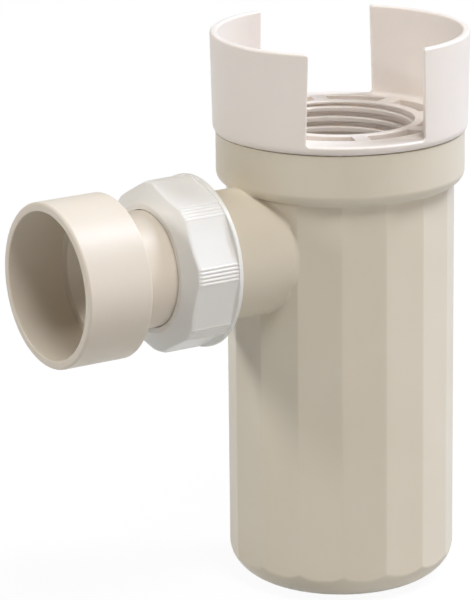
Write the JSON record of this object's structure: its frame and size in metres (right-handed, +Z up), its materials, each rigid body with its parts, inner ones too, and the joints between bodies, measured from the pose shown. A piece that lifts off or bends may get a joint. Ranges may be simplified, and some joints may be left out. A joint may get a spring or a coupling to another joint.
{
  "type": "bottle drain trap",
  "caption": "Plastic bottle trap with a faceted cup, a winged screw cap for the basin waste, a hidden dip tube and a side outlet with union nut and pipe socket.",
  "frame": {"origin": "centre of the flat base that the bottle stands on", "axes": "+Z up the bottle's axis to the inlet, -X out of the outlet"},
  "size_m": [0.1342, 0.0734, 0.161],
  "materials": {
    "bottle_plastic": "satin moulded ivory",
    "cap_plastic": "satin moulded ivory",
    "tube_plastic": "satin moulded ivory",
    "nut_plastic": "satin moulded white",
    "tail_plastic": "satin moulded ivory",
    "seal_rubber": "matt black",
    "washer_rubber": "matt black"
  },
  "bodies": {
    "bottle": {"bottle": "bottle_plastic"},
    "insert": {"dip_tube": "tube_plastic", "cap_seal": "seal_rubber", "inlet_washer": "washer_rubber"},
    "cap": {"inlet_cap": "cap_plastic"},
    "union_seal": {"outlet_seal": "seal_rubber"},
    "nut": {"outlet_nut": "nut_plastic"},
    "tail": {"outlet_tail": "tail_plastic"}
  },
  "joints": [
    {"name": "cap_rise", "type": "slide", "parent": "bottle", "child": "insert", "axis": [0, 0, 1], "range_m": [0, 0.00801]},
    {"name": "cap_turn", "type": "hinge", "parent": "insert", "child": "cap", "pos_m": [0, 0, 0.1324], "axis": [0, 0, 1], "range_deg": [0, 720]},
    {"name": "union_travel", "type": "slide", "parent": "bottle", "child": "union_seal", "axis": [-1, 0, 0], "range_m": [0, 0.00901]},
    {"name": "nut_turn", "type": "hinge", "parent": "union_seal", "child": "nut", "pos_m": [-0.057, 0, 0.1012], "axis": [-1, 0, 0], "range_deg": [0, 1080]},
    {"name": "tail_swivel", "type": "hinge", "parent": "union_seal", "child": "tail", "pos_m": [-0.0775, 0, 0.1012], "axis": [-1, 0, 0], "continuous": true}
  ],
  "couplings": [
    {"joint": "cap_rise", "follows": "cap_turn", "m_per_rad": 0.00063662},
    {"joint": "union_travel", "follows": "nut_turn", "m_per_rad": 0.00047746}
  ]
}
